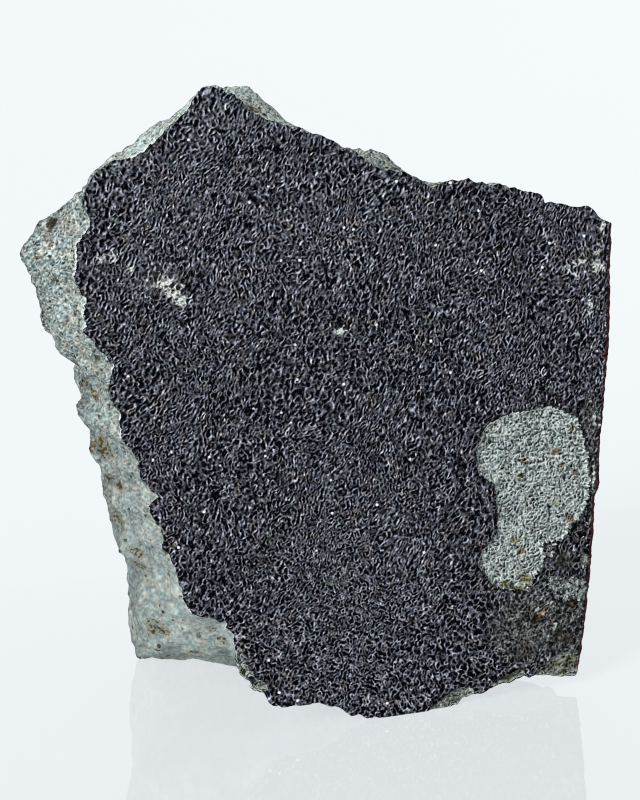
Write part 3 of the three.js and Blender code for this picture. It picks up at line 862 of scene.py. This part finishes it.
looks = {
    # the crust; pairs and fours of numbers are limits of a Map Range node, unless their note says more
    "pit": "#010206",  # crust between the ridges: its black glass, with painted shade in the pits
    "crest": ("#dbe1f4", "#e9e0e2"),  # crust on the ridges, cool and warm
    "crestGreen": "#d6e2e0",
    "warm": (0.5, 0.75),  # where in the hue noise crests turn warm, and where they turn green
    "green": (0.42, 0.25),
    "ridgeReach": (0.15, 0.0, 0.0),  # cells, from a ridge's middle to where its two sides are compared
    "ridgeWidth": 0.225,
    "ridgeMean": 0.48,
    "litSideShare": 0.4,  # painted light and shade: how much paler a ridge's side towards the light is, and darker the other side
    "topShare": (0.45, 1.0, 0.576, 0.32),  # how much paler its top is, a painted highlight, and darker the pits, most where its sides get least painted light
    "strands": (2.0, 2.0, 1.65),  # finer ridges between the ridges, to each cell of the net
    "strandsFrom": 81.0,
    "lively": (0.2, 0.8, 0.25, 1.75),  # how strong the ridges are
    "paintedGlint": "#f4f8fb",  # painted glints: white specks that stand in for the crust's gloss, with their row of numbers for spots
    "paintedGlints": (1.1, 0.07, 0.1, 0.1, 0.12),
    "scuffTones": ("#090a0b", "#8d8e8a"),
    "scuffMix": (0.55, 0.4),  # shares of the coarse grains and of the ridges in the mottle of a scuff
    "scuffMottle": (0.5, 1.15),
    "scuffRagged": 1.4,
    "scuffCover": (0.9, 1.6, 0.0, 0.85),
    "wornTones": ("#84908c", "#e9ebe6"),
    "wornLift": 0.1,
    "wornRidge": 0.6,  # how far wear keeps to the ridges, and how torn it is
    "wornRagged": 1.1,
    "wornCover": (1.5, 1.85, 0.0, 0.95),
    "wornBright": (0.35, 0.6),
    "lipShadow": (0.0, 0.35, 0.0, 0.7),  # mm past the edge, where the crust turns down: a painted shadow of the chip's wall, darkest there
    # the rock
    "rockTones": ("#050606", "#e8eeec"),
    "rockTints": ("#d1e3e5", "#e6e3d9"),  # cool and warm mineral mixes
    "tintMix": (0.8, 1.25),
    "crushTint": "#dde4e5",  # where the rock is broken small
    "crushed": (0.55, 1.0, 0.0, 0.6),
    "crumbs": 2.5,  # cells to the mm
    "crumbsFrom": 91.0,
    "crumbReach": (-0.05, 0.0, 0.05),  # mm, towards the light, between the two looks at a crumb's edge
    "crumbShares": (0.44, 0.26),  # how much paler a crumb's lit side and its top are
    "crumbGrit": (0.0, 1.0, -0.6, 0.3),
    "evenFoot": (0.06, 0.35, 0.7, 1.0),  # low down, where it is least crushed, the rock is more even
    "grainEdge": (0.1, 0.25),  # how soft and how uneven the edge of round grains is, in cells
    "raggedEdge": 0.9,  # mm, how torn the crust's edge is
    "isRock": (0.41, 0.49),
    "edgePale": "#dfe6e2",  # rock crushed white along the crust's edge
    "edgeCover": (0.53, 0.74, 1.0, 0.0),
    "stainGrit": 1.1,  # how far the small grains break a stain up
    "stainEdge": 0.6,
    "swings": {  # how far these noises make the tone lighter and darker
        "strand": 0.34, "patchy": 0.1, "fine": 0.25,
        "coarseGrain": 0.14, "softGrain": 0.24, "blotch": 0.12,
    },
    "roughness": (0.6, 0.9),  # glass that the air wrinkled, and broken rock
    "specular": 0.02,  # a rough, porous surface traps most of its own gloss
    "bumps": (0.035, 0.1),  # mm, the crust's ridges and the rock's grains
}


def chondrite():
    # chondrite, broken, with its fusion crust: a dull black glass drawn into a net of fine ridges that
    # catch the light, which is partly painted into its colour, and behind it a pale, gritty crush of
    # mineral grains, which has no gloss
    material, tree, shader = newMaterial("chondriteWithFusionCrust")
    add = functools.partial(addNode, tree)
    netPoint = add("Attribute", out="Vector", attribute_name="netPlace")
    grainPlace = add("Attribute", out="Vector", attribute_name="rockPlace")
    names = ("bare", "crush", "pale", "level", "sideLighting", "oxide", *marks)
    at = {name: add("Attribute", out="Fac", attribute_name=name) for name in names}
    noises = {}
    for name, (perMm, away, detail) in patterns.items():
        moved = add("VectorMath", (grainPlace, (away,) * 3), operation="ADD")
        noises[name] = add("TexNoise", {"Vector": moved, "Scale": perMm, "Detail": detail}, "Fac")
    away = (looks["strandsFrom"],) * 3
    strands = add("VectorMath", (netPoint, looks["strands"], away), operation="MULTIPLY_ADD")
    noises["strand"] = add("TexNoise", {"Vector": strands, "Scale": 1.0, "Detail": 0.0}, "Fac")
    swing = {}
    for name, far in looks["swings"].items():
        swing[name] = add("MapRange", mapped(noises[name], 0.0, 1.0, -far, far))

    def spots(perMm, chance, radius, edge, wobble):
        # 1 inside the chosen cells' round grains, which the small noise makes uneven
        distance = add("TexVoronoi", {"Vector": grainPlace, "Scale": perMm}, "Distance")
        lot = add("SeparateColor", {"Color": distance.node.outputs["Color"]}, "Red")
        chosen = add("Math", (lot, chance), operation="LESS_THAN")
        uneven = add("Math", (noises["smallGrain"], wobble, distance), operation="MULTIPLY_ADD")
        reach = radius + wobble / 2
        inside = add("MapRange", mapped(uneven, reach + edge, reach))
        return add("Math", (inside, chosen), operation="MULTIPLY")

    def ridgesAt(place, perUnit, reach):
        # how high the ridges are here, and how much higher on one side than on the other
        ridge = []
        for side in (0, 1, -1):
            moved = add("VectorMath", (place, [side * r for r in reach]), operation="ADD")
            net = add("TexNoise", {"Vector": moved, "Scale": perUnit, "Detail": 0.0}, "Fac")
            off = add("Math", (net, 0.5), operation="SUBTRACT")
            away = add("Math", (off,), operation="ABSOLUTE")
            ridge.append(add("MapRange", mapped(away, 0.0, looks["ridgeWidth"], 1.0, 0.0)))
        return ridge[0], add("Math", (ridge[1], ridge[2]), operation="SUBTRACT")

    # painted light and shade: each ridge is paler on its side towards the light and nearly black on the
    # other, more so higher up; lower down its paler top, a painted highlight, counts for more
    ridge, ridgeLitSide = ridgesAt(netPoint, 1.0, looks["ridgeReach"])
    ridgeLitSide = add("Math", (ridgeLitSide, at["sideLighting"]), operation="MULTIPLY")
    ridgeLitSide = add("Math", (ridgeLitSide, looks["litSideShare"]), operation="MULTIPLY")
    high = add("Math", (ridge, looks["ridgeMean"]), operation="SUBTRACT")
    topShare = add("MapRange", mapped(at["sideLighting"], *looks["topShare"]))
    worked = add("Math", (high, topShare, ridgeLitSide), operation="MULTIPLY_ADD")
    worked = add("Math", (worked, swing["strand"]), operation="ADD")
    lively = add("MapRange", mapped(noises["coarseGrain"], *looks["lively"]))
    level = add("Math", (swing["patchy"], at["level"]), operation="ADD")
    tone = add("Math", (worked, lively, level), operation="MULTIPLY_ADD")
    tone = add("Math", (at["worn"], looks["wornLift"], tone), operation="MULTIPLY_ADD")
    tone = add("Math", (tone, swing["fine"]), operation="ADD", use_clamp=True)
    light = add("Math", (tone, gamma), operation="POWER")
    warm = add("MapRange", mapped(noises["hue"], *looks["warm"]))
    green = add("MapRange", mapped(noises["hue"], *looks["green"]))
    crest = add("Mix", blended(warm, *looks["crest"]), data_type="RGBA")
    crest = add("Mix", blended(green, crest, looks["crestGreen"]), data_type="RGBA")
    crust = add("Mix", blended(light, looks["pit"], crest), data_type="RGBA")

    # scuffed crust is a brown-grey mottle without ridges
    coarseShare, ridgeShare = looks["scuffMix"]
    mottle = (noises["coarseGrain"], coarseShare, noises["smallGrain"])
    mottle = add("Math", mottle, operation="MULTIPLY_ADD")
    mottle = add("Math", (worked, ridgeShare, mottle), operation="MULTIPLY_ADD")
    mottle = add("MapRange", mapped(mottle, *looks["scuffMottle"]))
    mottle = add("Math", (mottle, gamma), operation="POWER")
    mottle = add("Mix", blended(mottle, *looks["scuffTones"]), data_type="RGBA")
    thin = add("Math", (noises["ragged"], looks["scuffRagged"], at["scuffed"]), operation="MULTIPLY_ADD")
    thin = add("MapRange", mapped(thin, *looks["scuffCover"]))
    # worn ridges show pale rock, the pits between them less
    wear = add("Math", (ridge, looks["wornRidge"], at["worn"]), operation="MULTIPLY_ADD")
    wear = add("Math", (noises["ragged"], looks["wornRagged"], wear), operation="MULTIPLY_ADD")
    wear = add("MapRange", mapped(wear, *looks["wornCover"]))
    bright = add("MapRange", mapped(noises["smallGrain"], *looks["wornBright"]))
    pale = add("Mix", blended(bright, *looks["wornTones"]), data_type="RGBA")
    # the edge of the crust wanders, and just before it a shadow is painted on the crust, darkest next to
    # the edge
    past = add("Math", (noises["ragged"], looks["raggedEdge"], at["bare"]), operation="MULTIPLY_ADD")
    lipShadow = add("MapRange", mapped(past, *looks["lipShadow"]))
    # painted glints: white specks in place of the crust's gloss
    paintedGlints = spots(*looks["paintedGlints"])
    for cover, over in ((paintedGlints, looks["paintedGlint"]), (thin, mottle), (wear, pale), (lipShadow, looks["pit"])):
        crust = add("Mix", blended(cover, crust, over), data_type="RGBA")

    # rock: crumbs with a lit side, coarse and small grains of many shades
    crumbs = add("VectorMath", (grainPlace, (looks["crumbsFrom"],) * 3), operation="ADD")
    crumb, litSide = ridgesAt(crumbs, looks["crumbs"], looks["crumbReach"])
    litSideShare, topShare = looks["crumbShares"]
    grit = add("MapRange", mapped(noises["smallGrain"], *looks["crumbGrit"]))
    crumbs = add("Math", (litSide, litSideShare, grit), operation="MULTIPLY_ADD")
    crumbs = add("Math", (crumb, topShare, crumbs), operation="MULTIPLY_ADD")
    coarse = add("Math", (swing["coarseGrain"], swing["softGrain"]), operation="ADD")
    uneven = add("MapRange", mapped(at["crush"], *looks["evenFoot"]))
    blotch = add("Math", (swing["blotch"], at["pale"]), operation="ADD")
    blotch = add("Math", (coarse, uneven, blotch), operation="MULTIPLY_ADD")
    rockTone = add("Math", (crumbs, at["crush"], blotch), operation="MULTIPLY_ADD", use_clamp=True)
    rockLight = add("Math", (rockTone, gamma), operation="POWER")
    rock = add("Mix", blended(rockLight, *looks["rockTones"]), data_type="RGBA")
    tint = add("Math", (noises["hue"], noises["softGrain"]), operation="ADD")
    tint = add("MapRange", mapped(tint, *looks["tintMix"]))
    tint = add("Mix", blended(tint, *looks["rockTints"]), data_type="RGBA")
    crushed = add("MapRange", mapped(at["crush"], *looks["crushed"]))
    tint = add("Mix", blended(crushed, tint, looks["crushTint"]), data_type="RGBA")
    # the tint, then scattered dark, rusted and round pale grains
    layers = [(1.0, tint, "MULTIPLY")]
    for perMm, chance, radius, shade, blend, strength in grains.values():
        spot = spots(perMm, chance, radius, *looks["grainEdge"])
        spot = add("Math", (spot, strength), operation="MULTIPLY")
        layers.append((spot, shade, blend))
    # just past the crust's edge the rock is crushed white
    fresh = add("MapRange", mapped(past, *looks["edgeCover"]))
    fresh = add("Math", (fresh, at["fresh"]), operation="MULTIPLY", use_clamp=True)
    layers.append((fresh, looks["edgePale"], "MIX"))
    for cover, over, blend in layers:
        rock = add("Mix", blended(cover, rock, over), data_type="RGBA", blend_type=blend)

    isRock = add("MapRange", mapped(past, *looks["isRock"]), interpolation_type="SMOOTHSTEP")
    colour = add("Mix", blended(isRock, crust, rock), data_type="RGBA")
    # stains are gathered by the soft grains and broken up by the small ones
    clump = add("Math", (noises["softGrain"], 0.5), operation="SUBTRACT")
    for name, shade, blend, strength, clumps, start in stains:
        gathered = add("Math", (clump, clumps, 1.0), operation="MULTIPLY_ADD")
        gathered = add("Math", (gathered, at[name]), operation="MULTIPLY")
        stain = add("Math", (noises["smallGrain"], looks["stainGrit"], gathered), operation="MULTIPLY_ADD")
        cover = add("MapRange", mapped(stain, start, start + looks["stainEdge"], 0.0, strength))
        colour = add("Mix", blended(cover, colour, shade), data_type="RGBA", blend_type=blend)
    tree.links.new(colour, shader.inputs["Base Color"])

    roughness = add("MapRange", mapped(isRock, 0.0, 1.0, *looks["roughness"]))
    tree.links.new(roughness, shader.inputs["Roughness"])
    shader.inputs["Specular IOR Level"].default_value = looks["specular"]
    crustBump, rockBump = looks["bumps"]
    crustHeight = add("Math", (ridge, crustBump), operation="MULTIPLY")
    rockHeight = add("Math", (rockTone, rockBump), operation="MULTIPLY")
    height = add("Mix", blended(isRock, crustHeight, rockHeight), data_type="FLOAT")
    bump = add("Bump", {"Height": height, "Distance": mm, "Strength": 1.0})
    tree.links.new(bump, shader.inputs["Normal"])
    return material


points[:, 0] += stone["middleX"]
meteorite = makePiece("meteorite", points, quads, triangles, fields)
meteorite.data.materials.append(chondrite())
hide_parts("stone")
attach(meteorite, "root")
print("the meteorite is made")
